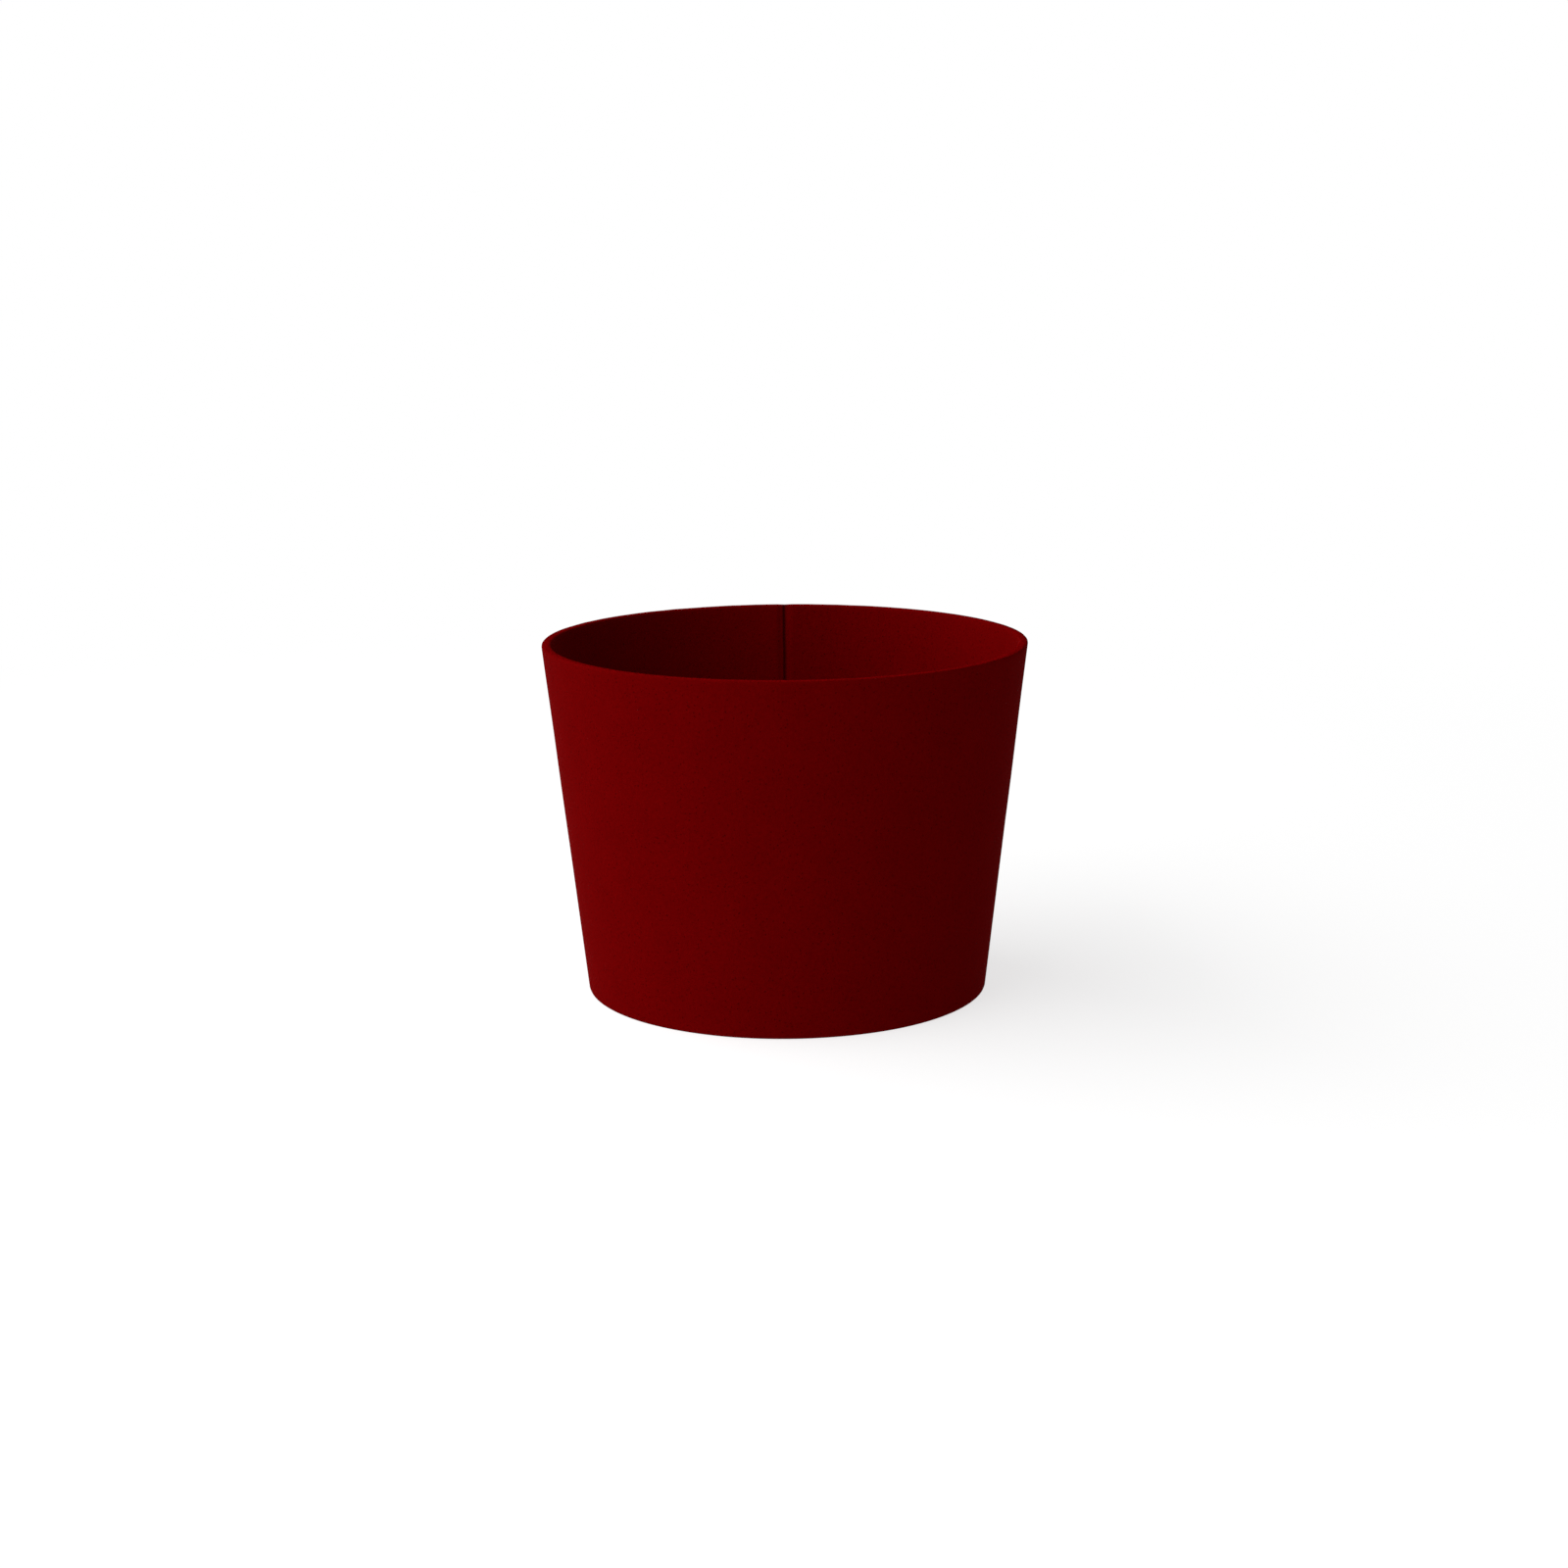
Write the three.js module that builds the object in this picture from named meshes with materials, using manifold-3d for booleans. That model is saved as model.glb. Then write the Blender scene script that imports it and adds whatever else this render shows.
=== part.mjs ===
// A foam cup sleeve: one strip of thin closed-cell foam sheet, die-cut as a shallow arc,
// rolled into a tapered band and joined edge to edge up the back.
// Millimetres, +Z up. The origin is on the sleeve's axis, in the plane of the lower rim. +Y is the back.
import * as THREE from "three";
import { mergeVertices } from "three/addons/utils/BufferGeometryUtils.js";
import Module from "manifold-3d";

// Driving dimensions
const sleeveHeight = 60;
const outerTopRadius = 41.1;
const outerBottomRadius = 34.3;
const foamThickness = 1.6; // square to the sheet
const rimRounding = 0.35; // how far the die and handling soften each corner of a cut rim

// The butt seam. Both faces draw in to a shallow valley where the two ends of the strip are fused.
const seamValleyRadius = 3;
const seamValleyDepth = 0.3;

// Smoothness of the faceted solid
const wallSegments = 144;
const cornerSegments = 3;
const valleySegments = 48;

// How far the two valley cutters run past the rims, so that they cut the rims too
const cutterOverrun = 2;

// Sizes that follow from the driving dimensions
const wallTaper = Math.atan2(outerTopRadius - outerBottomRadius, sleeveHeight);
const wallAcross = foamThickness / Math.cos(wallTaper); // the wall measured level
const cornerRadius = Math.min(rimRounding, foamThickness / 3);

const wasm = await Module();
wasm.setup();

// A three.js geometry as a manifold-3d solid
function solidFrom(geometry) {
  const bare = geometry.clone();
  bare.deleteAttribute("normal");
  bare.deleteAttribute("uv");
  const merged = mergeVertices(bare);
  return new wasm.Manifold(
    new wasm.Mesh({
      numProp: 3,
      vertProperties: new Float32Array(merged.attributes.position.array),
      triVerts: new Uint32Array(merged.index.array),
    }),
  );
}

// A manifold-3d solid as a three.js geometry
function geometryFrom(solid) {
  const mesh = solid.getMesh();
  const geometry = new THREE.BufferGeometry();
  geometry.setAttribute("position", new THREE.BufferAttribute(mesh.vertProperties, mesh.numProp));
  geometry.setIndex(new THREE.BufferAttribute(mesh.triVerts, 1));
  geometry.computeVertexNormals();
  return geometry;
}

// The wall's section as corner points: across is the distance from the sleeve's axis, up is the height
function wallCorners() {
  return [
    { across: outerBottomRadius, up: 0 },
    { across: outerTopRadius, up: sleeveHeight },
    { across: outerTopRadius - wallAcross, up: sleeveHeight },
    { across: outerBottomRadius - wallAcross, up: 0 },
  ].map(({ across, up }) => new THREE.Vector2(across, up));
}

// A closed outline through the corners, with each one rounded by a true arc
function roundedOutline(corners, radius) {
  const outline = [];
  corners.forEach((corner, i) => {
    const before = corners[(i + corners.length - 1) % corners.length];
    const after = corners[(i + 1) % corners.length];
    const toBefore = before.clone().sub(corner).normalize();
    const toAfter = after.clone().sub(corner).normalize();
    const halfAngle = Math.acos(toBefore.dot(toAfter)) / 2;
    const toCentre = toBefore.clone().add(toAfter).normalize();
    const centre = corner.clone().addScaledVector(toCentre, radius / Math.sin(halfAngle));
    const start = corner.clone().addScaledVector(toBefore, radius / Math.tan(halfAngle)).sub(centre);
    const sweep = 2 * halfAngle - Math.PI; // clockwise round a clockwise outline
    const turn = Math.sign(toBefore.cross(toAfter)) * sweep;
    for (let step = 0; step <= cornerSegments; step++) {
      const spoke = start.clone().rotateAround(new THREE.Vector2(), (turn * step) / cornerSegments);
      outline.push(centre.clone().add(spoke));
    }
  });
  outline.push(outline[0].clone());
  return outline;
}

// The tapered band: the rounded section turned about the sleeve's axis
function taperedBand() {
  const outline = roundedOutline(wallCorners(), cornerRadius);
  const band = new THREE.LatheGeometry(outline, wallSegments);
  band.rotateX(Math.PI / 2);
  return solidFrom(band);
}

// A rod lying up the back of the wall that bites seamValleyDepth into one face.
// faceRadius is the face's own radius at the lower rim, and side is +1 outside the wall and -1 inside it.
function valleyCutter(faceRadius, side) {
  const length = sleeveHeight / Math.cos(wallTaper) + 2 * cutterOverrun;
  const rod = new THREE.CylinderGeometry(seamValleyRadius, seamValleyRadius, length, valleySegments);
  rod.rotateX(Math.PI / 2);
  rod.translate(0, 0, length / 2 - cutterOverrun);
  rod.translate(0, side * (seamValleyRadius - seamValleyDepth), 0);
  rod.rotateX(-wallTaper);
  rod.translate(0, faceRadius, 0);
  return solidFrom(rod);
}

const band = taperedBand();
const outerValley = valleyCutter(outerBottomRadius, 1);
const innerValley = valleyCutter(outerBottomRadius - wallAcross, -1);
const sleeveSolid = band.subtract(outerValley).subtract(innerValley);

const foam = new THREE.MeshStandardMaterial({ color: 0x740103, roughness: 0.9, metalness: 0 });

const cupSleeve = new THREE.Mesh(geometryFrom(sleeveSolid), foam);
cupSleeve.name = "cup_sleeve";

const part = new THREE.Group();
part.add(cupSleeve);

export default part;
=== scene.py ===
# A plain foam cup sleeve, standing by itself on a pale floor.
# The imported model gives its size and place, and this script gives it its foam.
import math

import bmesh
import bpy
from mathutils import Matrix, Vector, noise


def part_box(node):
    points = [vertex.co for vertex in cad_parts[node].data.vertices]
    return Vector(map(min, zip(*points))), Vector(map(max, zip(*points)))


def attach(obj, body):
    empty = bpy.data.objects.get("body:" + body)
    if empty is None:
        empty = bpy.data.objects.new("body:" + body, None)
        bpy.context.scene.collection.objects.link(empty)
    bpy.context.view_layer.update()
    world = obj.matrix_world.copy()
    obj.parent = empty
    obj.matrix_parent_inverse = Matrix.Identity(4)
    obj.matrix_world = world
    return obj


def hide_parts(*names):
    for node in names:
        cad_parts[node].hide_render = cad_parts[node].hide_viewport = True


mm = 0.001

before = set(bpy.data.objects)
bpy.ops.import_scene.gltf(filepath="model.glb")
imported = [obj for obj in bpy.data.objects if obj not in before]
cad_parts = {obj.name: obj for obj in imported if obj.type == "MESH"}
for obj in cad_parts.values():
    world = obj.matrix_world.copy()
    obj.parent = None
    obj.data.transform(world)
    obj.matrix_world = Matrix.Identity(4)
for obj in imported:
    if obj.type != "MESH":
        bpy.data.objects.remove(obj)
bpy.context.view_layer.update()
nodeLow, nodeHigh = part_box("cup_sleeve")
print("frame loaded, node", [round(v / mm, 2) for v in nodeHigh - nodeLow], "mm")


camera = {
    "aim": (-0.30, 0.0, 34.92),  # mm, the point in the middle of the picture
    "distance": 470.2,  # mm
    "elevation": 12.15,  # degrees above the level
    "roll": -0.43,  # degrees
    "lens": 63.0,  # mm
    "sensor": 36,  # mm
    "nearest": 0.01,  # m, so that a close view isn't cut
}


def addCamera():
    rise = math.radians(camera["elevation"])
    roll = math.radians(camera["roll"])
    back = Vector((0, -math.cos(rise), math.sin(rise)))
    level = Vector((1, 0, 0))
    upright = back.cross(level)
    right = level * math.cos(roll) + upright * math.sin(roll)
    up = upright * math.cos(roll) - level * math.sin(roll)
    place = (Vector(camera["aim"]) + back * camera["distance"]) * mm
    bpy.ops.object.camera_add()
    eye = bpy.context.object
    eye.name = "photo_camera"
    turn = Matrix((right, up, back)).transposed().to_4x4()
    eye.matrix_world = Matrix.Translation(place) @ turn
    eye.data.lens = camera["lens"]
    eye.data.sensor_width = camera["sensor"]
    eye.data.clip_start = camera["nearest"]
    bpy.context.scene.camera = eye


addCamera()
print("camera placed")


# An sRGB hex colour as the linear colour that a shader takes
def linearColour(code):
    parts = [int(code[i : i + 2], 16) / 255 for i in (1, 3, 5)]
    bent = [v / 12.92 if v <= 0.04045 else ((v + 0.055) / 1.055) ** 2.4 for v in parts]
    return (*bent, 1.0)


# Adds one node. An input is a plain value, or (node, output) to link from.
def addNode(tree, kind, inputs=None, **settings):
    node = tree.nodes.new(kind)
    for name, value in settings.items():
        setattr(node, name, value)
    for socket, value in (inputs or {}).items():
        if isinstance(value, tuple) and isinstance(value[0], bpy.types.Node):
            tree.links.new(value[0].outputs[value[1]], node.inputs[socket])
        else:
            node.inputs[socket].default_value = value
    return node


# A Mix node has two inputs for each kind of data under the same names, so they go by number
numberA, numberB = 2, 3
colourA, colourB, mixedColour = 6, 7, 2

noiseSpan = (0.3, 0.7)  # nearly all of a noise texture's values lie between these
evaIor = 1.48


def newMaterial(name):
    material = bpy.data.materials.new(name)
    material.use_nodes = True
    material.node_tree.nodes.clear()
    return material, material.node_tree


# Closed-cell EVA foam, dyed through and moulded as thin sheet: a dry, almost glossless skin
# with a fine pebble of cells under it and a faint cloudiness in the dye. The pebble's hollows
# are painted darker and its tops paler, as painted shade.
foamSkin = {
    # the colour's two ends: the deeper one paints shade into the pebble's hollows and gives the
    # dye's darker clouds
    "paler": "#750102",
    "deeper": "#660001",
    "cellSize": 0.5,  # mm across one pebble. Real cells are 0.1 to 0.2 mm, too fine to show
    "cellDepth": 0.07,  # mm
    "poreSpacing": 0.8,  # mm between the cells that may have broken open at the skin
    "poreReach": (0.10, 0.20),  # of that spacing, the floor of a pore and its lip
    "poreDepth": 0.06,  # mm
    # painted shade: the darker colour at the floor of each open pore
    "poreShade": "#5A0001",
    "cloudSize": 7.0,  # mm
    "cloudDepth": 0.05,  # mm
    "cloudShare": 0.25,  # of the colour's unevenness, the dye's own cloudy tone; the rest goes by the cells, as painted shade in the pebble's hollows
    "roughness": (0.86, 0.94),
    "shine": 0.005,
    "weld": "#4A0001",  # the fused line up the back: no cells left, so darker and smoother
    "weldWidth": (0.15, 0.45),  # mm from its middle, solid and then fading out
    "weldStray": 0.4,  # mm, how far it wanders from side to side
    "weldRoughness": 0.6,
}

# Bending the sheet round presses fine upright wrinkles into its inner face.
innerFace = {
    "wrinkleSize": 1.6,  # mm
    "wrinkleSquash": 0.08,  # the pattern's scale upright, so a wrinkle is far taller than wide
    "wrinkleDepth": 0.06,  # mm
}


# 1 on the weld, which runs up the middle of the back and strays a little from side to side
def addWeldMask(tree, place, clouds):
    stray = foamSkin["weldStray"]
    axes = addNode(tree, "ShaderNodeSeparateXYZ", {0: (place, "Object")})
    wander = addNode(
        tree,
        "ShaderNodeMath",
        {0: (clouds, "Fac"), 1: stray * mm, 2: -stray / 2 * mm},
        operation="MULTIPLY_ADD",
    )
    sideways = addNode(tree, "ShaderNodeMath", {0: (axes, "X"), 1: (wander, 0)}, operation="ADD")
    offLine = addNode(tree, "ShaderNodeMath", {0: (sideways, 0)}, operation="ABSOLUTE")
    onLine = addNode(
        tree,
        "ShaderNodeMapRange",
        {
            "Value": (offLine, 0),
            "From Min": foamSkin["weldWidth"][1] * mm,
            "From Max": foamSkin["weldWidth"][0] * mm,
        },
    )
    behind = addNode(tree, "ShaderNodeMath", {0: (axes, "Y"), 1: 0.0}, operation="GREATER_THAN")
    return addNode(tree, "ShaderNodeMath", {0: (onLine, 0), 1: (behind, 0)}, operation="MULTIPLY")


def addFoamColour(tree, cells, clouds, pores, weld):
    cloudPart = addNode(
        tree,
        "ShaderNodeMath",
        {0: (clouds, "Fac"), 1: foamSkin["cloudShare"]},
        operation="MULTIPLY",
    )
    # Painted shade and dye: by the cells' share the pebble's hollows, low by the same noise in
    # the relief, are painted darker and its tops paler; the clouds' share is the dye's own uneven
    # tone.
    dyeAndPebbleShade = addNode(
        tree,
        "ShaderNodeMath",
        {0: (cells, "Fac"), 1: 1 - foamSkin["cloudShare"], 2: (cloudPart, 0)},
        operation="MULTIPLY_ADD",
    )
    dyeAndShadeSpread = addNode(
        tree,
        "ShaderNodeMapRange",
        {"Value": (dyeAndPebbleShade, 0), "From Min": noiseSpan[0], "From Max": noiseSpan[1]},
    )
    dyedAndShaded = addNode(
        tree,
        "ShaderNodeMix",
        {
            0: (dyeAndShadeSpread, 0),
            colourA: linearColour(foamSkin["deeper"]),
            colourB: linearColour(foamSkin["paler"]),
        },
        data_type="RGBA",
    )
    # Painted shade: the open pores are painted darker, as their hollows would be shaded.
    poreShaded = addNode(
        tree,
        "ShaderNodeMix",
        {
            0: (pores, 0),
            colourA: (dyedAndShaded, mixedColour),
            colourB: linearColour(foamSkin["poreShade"]),
        },
        data_type="RGBA",
    )
    return addNode(
        tree,
        "ShaderNodeMix",
        {
            0: (weld, 0),
            colourA: (poreShaded, mixedColour),
            colourB: linearColour(foamSkin["weld"]),
        },
        data_type="RGBA",
    )


def addFoamRoughness(tree, cells, weld):
    dryness = addNode(
        tree,
        "ShaderNodeMapRange",
        {
            "Value": (cells, "Fac"),
            "From Min": noiseSpan[0],
            "From Max": noiseSpan[1],
            "To Min": foamSkin["roughness"][0],
            "To Max": foamSkin["roughness"][1],
        },
    )
    return addNode(
        tree,
        "ShaderNodeMix",
        {0: (weld, 0), numberA: (dryness, 0), numberB: foamSkin["weldRoughness"]},
        data_type="FLOAT",
    )


# Clouds first, then the wrinkles of a bent face, the pebble of cells, and the pores
def addFoamRelief(tree, place, cells, clouds, pores, bend):
    relief = addNode(
        tree,
        "ShaderNodeBump",
        {"Height": (clouds, "Fac"), "Distance": foamSkin["cloudDepth"] * mm, "Strength": 1.0},
    )
    if bend:
        upright = addNode(
            tree,
            "ShaderNodeMapping",
            {"Vector": (place, "Object"), "Scale": (1, 1, bend["wrinkleSquash"])},
        )
        wrinkles = addNode(
            tree,
            "ShaderNodeTexNoise",
            {"Vector": (upright, 0), "Scale": 1 / (bend["wrinkleSize"] * mm), "Detail": 2},
        )
        relief = addNode(
            tree,
            "ShaderNodeBump",
            {
                "Height": (wrinkles, "Fac"),
                "Distance": bend["wrinkleDepth"] * mm,
                "Strength": 1.0,
                "Normal": (relief, 0),
            },
        )
    pebble = addNode(
        tree,
        "ShaderNodeBump",
        {
            "Height": (cells, "Fac"),
            "Distance": foamSkin["cellDepth"] * mm,
            "Strength": 1.0,
            "Normal": (relief, 0),
        },
    )
    return addNode(
        tree,
        "ShaderNodeBump",
        {
            "Height": (pores, 0),
            "Distance": foamSkin["poreDepth"] * mm,
            "Strength": 1.0,
            "Normal": (pebble, 0),
        },
        invert=True,
    )


def makeFoamSkin(name, bend=None):
    material, tree = newMaterial(name)
    place = addNode(tree, "ShaderNodeTexCoord")
    cells = addNode(
        tree,
        "ShaderNodeTexNoise",
        {
            "Vector": (place, "Object"),
            "Scale": 1 / (foamSkin["cellSize"] * mm),
            "Detail": 3,
            "Roughness": 0.6,
        },
    )
    clouds = addNode(
        tree,
        "ShaderNodeTexNoise",
        {
            "Vector": (place, "Object"),
            "Scale": 1 / (foamSkin["cloudSize"] * mm),
            "Detail": 4,
            "Roughness": 0.55,
        },
    )
    specks = addNode(
        tree,
        "ShaderNodeTexVoronoi",
        {"Vector": (place, "Object"), "Scale": 1 / (foamSkin["poreSpacing"] * mm)},
    )
    pores = addNode(
        tree,
        "ShaderNodeMapRange",
        {
            "Value": (specks, "Distance"),
            "From Min": foamSkin["poreReach"][0],
            "From Max": foamSkin["poreReach"][1],
            "To Min": 1.0,
            "To Max": 0.0,
        },
    )
    weld = addWeldMask(tree, place, clouds)
    colour = addFoamColour(tree, cells, clouds, pores, weld)
    roughness = addFoamRoughness(tree, cells, weld)
    relief = addFoamRelief(tree, place, cells, clouds, pores, bend)
    surface = addNode(
        tree,
        "ShaderNodeBsdfPrincipled",
        {
            "Base Color": (colour, mixedColour),
            "Roughness": (roughness, 0),
            "Normal": (relief, 0),
            "IOR": evaIor,
            "Specular IOR Level": foamSkin["shine"],
        },
    )
    addNode(tree, "ShaderNodeOutputMaterial", {"Surface": (surface, 0)})
    return material


# The same foam where the die has cut it: open cells, so drier still, pitted and a shade paler.
# The floor of each pit is painted darker, as painted shade.
cutFoam = {
    "paler": "#880205",
    # painted shade: the colour at the floor of a pit
    "deeper": "#680102",
    "pitSize": 0.4,  # mm. Real ones are 0.1 to 0.2 mm, too fine to show
    "pitReach": (0.1, 0.7),  # of that size, the floor of a pit and its lip
    "pitDepth": 0.07,  # mm
    "roughness": 0.96,
    "shine": 0.0,  # open cells give none
}


def makeCutFoam(name):
    material, tree = newMaterial(name)
    place = addNode(tree, "ShaderNodeTexCoord")
    pits = addNode(
        tree,
        "ShaderNodeTexVoronoi",
        {"Vector": (place, "Object"), "Scale": 1 / (cutFoam["pitSize"] * mm)},
    )
    depth = addNode(
        tree,
        "ShaderNodeMapRange",
        {
            "Value": (pits, "Distance"),
            "From Min": cutFoam["pitReach"][0],
            "From Max": cutFoam["pitReach"][1],
        },
    )
    # Painted shade: each pit's floor takes the deeper colour and its lip the paler one.
    colour = addNode(
        tree,
        "ShaderNodeMix",
        {
            0: (depth, 0),
            colourA: linearColour(cutFoam["deeper"]),
            colourB: linearColour(cutFoam["paler"]),
        },
        data_type="RGBA",
    )
    relief = addNode(
        tree,
        "ShaderNodeBump",
        {"Height": (depth, 0), "Distance": cutFoam["pitDepth"] * mm, "Strength": 1.0},
    )
    surface = addNode(
        tree,
        "ShaderNodeBsdfPrincipled",
        {
            "Base Color": (colour, mixedColour),
            "Roughness": cutFoam["roughness"],
            "Normal": (relief, 0),
            "IOR": evaIor,
            "Specular IOR Level": cutFoam["shine"],
        },
    )
    addNode(tree, "ShaderNodeOutputMaterial", {"Surface": (surface, 0)})
    return material


cornerInset = 0.04  # mm that the rounding takes off the radius at the top rim

# The band, in mm. Its height and its top come from the frame.
sleeve = {
    "height": (nodeHigh.z - nodeLow.z) / mm,
    "topRadius": (nodeHigh.x - nodeLow.x) / 2 / mm + cornerInset,
    "footRadius": 34.3,
    "thickness": 1.6,
    "rimRounding": 0.35,
    "rimSteps": 3,
    "rimRing": 0.9,  # from a rim to the ring of points that keeps its rounding crisp
    "segments": 288,
    "rings": 40,
    "valleyRadius": 3.0,  # of the rod that presses the seam's valley
    "valleyDepth": 0.3,
    "hairDepth": 0.16,  # the fused line at the bottom of the valley
    "hairWidth": 0.22,  # to each side
    "seamCuts": (0.0, 0.11, 0.22, 0.4, 0.65, 0.95, 1.3, 1.7),  # to each side, for extra columns
    "seamZone": 6.0,  # to each side, the wall that those cuts go through
    "swellSize": 14.0,  # soft unevenness of hand-rolled sheet
    "swell": 0.05,
    "edgeSize": 5.0,
    "edgeWander": 0.05,  # how far the top rim strays
    "edgeReach": 6.0,  # below the top rim, where that has died away
}
mergeReach = 0.01 * mm
sameSpot = 1e-6  # m, under which two places are one
rimTilt = 0.75  # a face whose normal stands up or down by more than this is the cut rim's


def pickFaces(piece, test):
    mesh = bmesh.from_edit_mesh(piece.data)
    for face in mesh.faces:
        face.select_set(test(face.calc_center_median()))
    mesh.select_flush_mode()
    bmesh.update_edit_mesh(piece.data)


def pickEdges(piece, test):
    mesh = bmesh.from_edit_mesh(piece.data)
    for edge in mesh.edges:
        edge.select_set(False)
    for edge in mesh.edges:
        if test(edge.verts[0].co, edge.verts[1].co):
            edge.select_set(True)
    bmesh.update_edit_mesh(piece.data)


# Merges doubles and turns all faces outwards
def closeUp():
    bpy.ops.mesh.select_all(action="SELECT")
    bpy.ops.mesh.remove_doubles(threshold=mergeReach)
    bpy.ops.mesh.normals_make_consistent(inside=False)


def makeWall(height):
    taper = math.atan2(sleeve["topRadius"] - sleeve["footRadius"], sleeve["height"])
    across = sleeve["thickness"] / math.cos(taper)  # the wall measured level
    innerTop = sleeve["topRadius"] - across
    innerFoot = sleeve["footRadius"] - across
    bpy.ops.object.select_all(action="DESELECT")
    bpy.ops.mesh.primitive_cone_add(
        vertices=sleeve["segments"],
        radius1=sleeve["footRadius"] * mm,
        radius2=sleeve["topRadius"] * mm,
        depth=height,
        end_fill_type="NOTHING",
        location=(0, 0, height / 2),
    )
    foam = bpy.context.object
    foam.name = foam.data.name = "cup_sleeve_foam"
    bpy.ops.object.transform_apply(location=True, rotation=True, scale=True)

    # Round the wall: in over the top, down the inside, and back out to the foot of the outside
    bpy.ops.object.mode_set(mode="EDIT")
    bpy.ops.mesh.select_mode(type="EDGE")
    pickEdges(foam, lambda a, b: a.z > height / 2 and b.z > height / 2)
    for growth, level, drop in (
        (innerTop / sleeve["topRadius"], height, 0),
        (innerFoot / innerTop, height, -height),
        (sleeve["footRadius"] / innerFoot, 0, 0),
    ):
        bpy.ops.mesh.extrude_edges_move()
        bpy.ops.transform.resize(value=(growth, growth, 1), center_override=(0, 0, level))
        bpy.ops.transform.translate(value=(0, 0, drop))
    closeUp()
    print("wall drawn round")
    return foam


def alongRim(a, b):
    level = abs(a.z - b.z) < sameSpot
    return level and abs(math.hypot(a.x, a.y) - math.hypot(b.x, b.y)) < sameSpot


def roundRims(foam, height):
    pickEdges(foam, alongRim)
    bpy.ops.mesh.bevel(
        offset=sleeve["rimRounding"] * mm,
        segments=sleeve["rimSteps"],
        profile=0.5,
        affect="EDGES",
    )
    pickEdges(foam, lambda a, b: abs(a.z - b.z) > height / 2)
    bpy.ops.mesh.subdivide(number_cuts=sleeve["rings"] - 1)
    for level in (sleeve["rimRing"] * mm, height - sleeve["rimRing"] * mm):
        bpy.ops.mesh.select_all(action="SELECT")
        bpy.ops.mesh.bisect(plane_co=(0, 0, level), plane_no=(0, 0, 1))
    print("rims rounded, wall in rings")


def cutSeamColumns(foam):
    bpy.ops.mesh.select_mode(type="FACE")
    for side in sorted({sign * cut for cut in sleeve["seamCuts"] for sign in (-1, 1)}):
        pickFaces(foam, lambda c: c.y > 0 and abs(c.x) < sleeve["seamZone"] * mm)
        bpy.ops.mesh.bisect(plane_co=(side * mm, 0, 0), plane_no=(1, 0, 0))
    closeUp()
    bpy.ops.object.mode_set(mode="OBJECT")
    print("seam columns cut", len(foam.data.vertices), "points")


# How far one face draws in at a point sideways of the seam, in mm
def seamDip(sideways):
    reach = sleeve["valleyRadius"] - sleeve["valleyDepth"]
    rod = sleeve["valleyRadius"] ** 2 - sideways**2
    valley = max(0.0, math.sqrt(rod) - reach) if rod > 0 else 0.0
    hair = sleeve["hairDepth"] * max(0.0, 1 - abs(sideways) / sleeve["hairWidth"])
    return valley + hair


# Presses the seam in and gives the sheet the slight unevenness of a real one
def settleFoam(foam, height):
    slope = (sleeve["topRadius"] - sleeve["footRadius"]) * mm / height
    middle = (sleeve["footRadius"] - sleeve["thickness"] / 2) * mm
    elsewhere = Vector((7, 0, 0))  # so that the rim's unevenness isn't the wall's
    for point in foam.data.vertices:
        place = point.co.copy()
        outwards = Vector((place.x, place.y, 0)).normalized()
        isOuter = math.hypot(place.x, place.y) > middle + slope * place.z
        drift = noise.noise(place / (sleeve["swellSize"] * mm)) * sleeve["swell"]
        if place.y > 0:
            dip = seamDip(place.x / mm)
            drift += -dip if isOuter else dip
        wander = noise.noise(place / (sleeve["edgeSize"] * mm) + elsewhere)
        nearTop = max(0.0, 1 - (height - place.z) / (sleeve["edgeReach"] * mm))
        point.co = place + outwards * drift * mm
        point.co.z -= abs(wander) * sleeve["edgeWander"] * mm * nearTop
    foam.data.update()
    print("seam pressed, foam settled")


def dressFoam(foam):
    foam.data.materials.clear()
    foam.data.materials.append(makeFoamSkin("foam_skin"))
    foam.data.materials.append(makeFoamSkin("foam_skin_inner", innerFace))
    foam.data.materials.append(makeCutFoam("foam_cut_rim"))
    outerSkin, innerSkin, cutRim = range(3)
    for face in foam.data.polygons:
        outwards = Vector((face.center.x, face.center.y, 0)).normalized()
        if abs(face.normal.z) > rimTilt:
            face.material_index = cutRim
        elif face.normal.dot(outwards) < 0:
            face.material_index = innerSkin
        else:
            face.material_index = outerSkin
    print("foam dressed")


def makeSleeve():
    height = sleeve["height"] * mm
    foam = makeWall(height)
    roundRims(foam, height)
    cutSeamColumns(foam)
    settleFoam(foam, height)
    dressFoam(foam)
    bpy.ops.object.select_all(action="DESELECT")
    foam.select_set(True)
    bpy.context.view_layer.objects.active = foam
    bpy.ops.object.shade_smooth()
    return foam


foam = makeSleeve()
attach(foam, "root")
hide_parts("cup_sleeve")
print("foam band done", len(foam.data.polygons), "faces")


# The floor gives a steady light of its own, as a lit table does, so the foot stays as light
# as the top. The camera sees it as white, with the sleeve's soft shadow on it.
studio = {
    "floorSize": 8,  # m
    "floorColour": "#8C8C8C",  # for the light that it throws back up
    "floorLight": 0.32,  # what it gives by itself
    "floorWhite": 0.7,  # of the white that the camera sees comes from the floor itself
    "floorShadow": 0.55,  # how strongly the floor shows the camera its light and shadow
    "floorFade": (0.10, 0.40),  # m from the middle, over which that share falls to nothing
    "worldLight": 0.21,
}
lamp = {
    "place": (-0.75, -0.10, 0.38),  # m, to the left and a little in front
    "size": (2.2, 1.4),  # m
    "power": 16.8,  # W
}
white = (1, 1, 1, 1)


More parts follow.
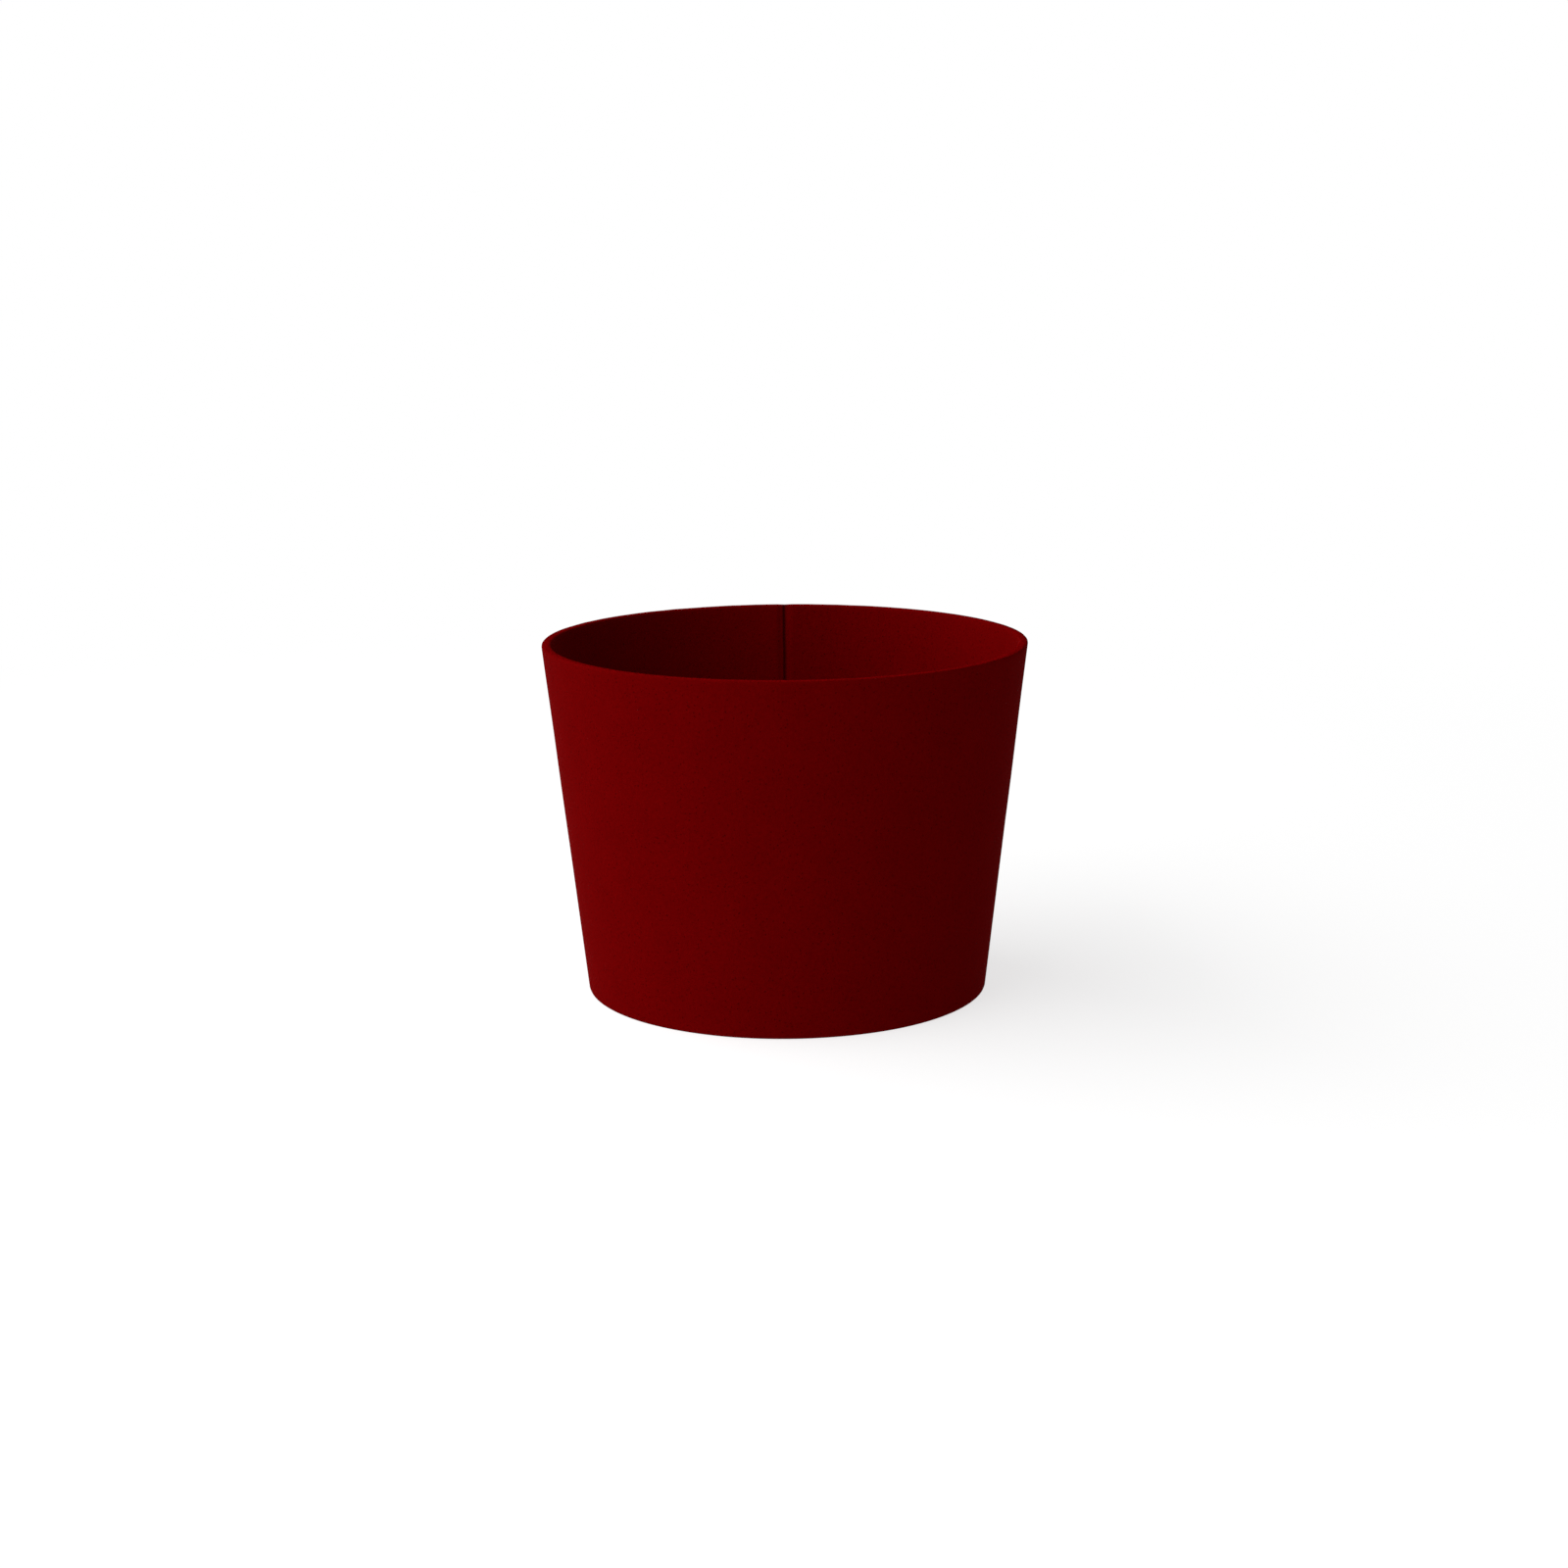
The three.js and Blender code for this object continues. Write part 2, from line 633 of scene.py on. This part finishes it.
# 1 for the rays that see the background: the camera's, and those of gloss and glass
def addBackgroundRays(tree):
    ray = addNode(tree, "ShaderNodeLightPath")
    seen = addNode(
        tree,
        "ShaderNodeMath",
        {0: (ray, "Is Camera Ray"), 1: (ray, "Is Glossy Ray")},
        operation="MAXIMUM",
    )
    return addNode(
        tree,
        "ShaderNodeMath",
        {0: (seen, 0), 1: (ray, "Is Transmission Ray")},
        operation="MAXIMUM",
    )


# 0 near the sleeve, rising to 1 far out on the floor
def addFloorFade(tree):
    place = addNode(tree, "ShaderNodeTexCoord")
    away = addNode(tree, "ShaderNodeVectorMath", {0: (place, "Object")}, operation="LENGTH")
    return addNode(
        tree,
        "ShaderNodeMapRange",
        {
            "Value": (away, "Value"),
            "From Min": studio["floorFade"][0],
            "From Max": studio["floorFade"][1],
        },
        interpolation_type="SMOOTHSTEP",
    )


def makeFloorMaterial():
    material, tree = newMaterial("pale_floor")
    grey = (studio["floorShadow"],) * 3 + (1.0,)
    floorColour = linearColour(studio["floorColour"])
    bounce = addNode(tree, "ShaderNodeBsdfDiffuse", {"Color": floorColour})
    lit = addNode(
        tree, "ShaderNodeEmission", {"Color": white, "Strength": studio["floorLight"]}
    )
    table = addNode(tree, "ShaderNodeAddShader", {0: (bounce, 0), 1: (lit, 0)})
    glow = addNode(
        tree, "ShaderNodeEmission", {"Color": white, "Strength": studio["floorWhite"]}
    )
    shade = addNode(tree, "ShaderNodeBsdfDiffuse", {"Color": grey})
    near = addNode(tree, "ShaderNodeAddShader", {0: (glow, 0), 1: (shade, 0)})
    far = addNode(tree, "ShaderNodeEmission", {"Color": white, "Strength": 1.0})
    fade = addFloorFade(tree)
    shown = addNode(tree, "ShaderNodeMixShader", {0: (fade, 0), 1: (near, 0), 2: (far, 0)})
    seen = addBackgroundRays(tree)
    both = addNode(tree, "ShaderNodeMixShader", {0: (seen, 0), 1: (table, 0), 2: (shown, 0)})
    addNode(tree, "ShaderNodeOutputMaterial", {"Surface": (both, 0)})
    return material


def addFloor():
    bpy.ops.mesh.primitive_plane_add(size=studio["floorSize"], location=(0, 0, 0))
    floor = bpy.context.object
    floor.name = "floor"
    floor.data.materials.append(makeFloorMaterial())


def addLamp():
    bpy.ops.object.light_add(type="AREA", location=lamp["place"])
    light = bpy.context.object
    light.name = "wide_left"
    light.data.shape = "RECTANGLE"
    light.data.size, light.data.size_y = lamp["size"]
    light.data.energy = lamp["power"]
    aim = Vector((0, 0, sleeve["height"] / 2 * mm)) - Vector(lamp["place"])
    light.rotation_euler = aim.to_track_quat("-Z", "Y").to_euler()


def addWorld():
    world = bpy.data.worlds.new("studio_world")
    bpy.context.scene.world = world
    world.use_nodes = True
    tree = world.node_tree
    tree.nodes.clear()
    seen = addBackgroundRays(tree)
    strength = addNode(
        tree,
        "ShaderNodeMapRange",
        {"Value": (seen, 0), "To Min": studio["worldLight"], "To Max": 1.0},
    )
    light = addNode(tree, "ShaderNodeBackground", {"Color": white, "Strength": (strength, 0)})
    addNode(tree, "ShaderNodeOutputWorld", {"Surface": (light, 0)})


addFloor()
addLamp()
addWorld()
bpy.context.scene.view_settings.view_transform = "Standard"
print("studio lit")
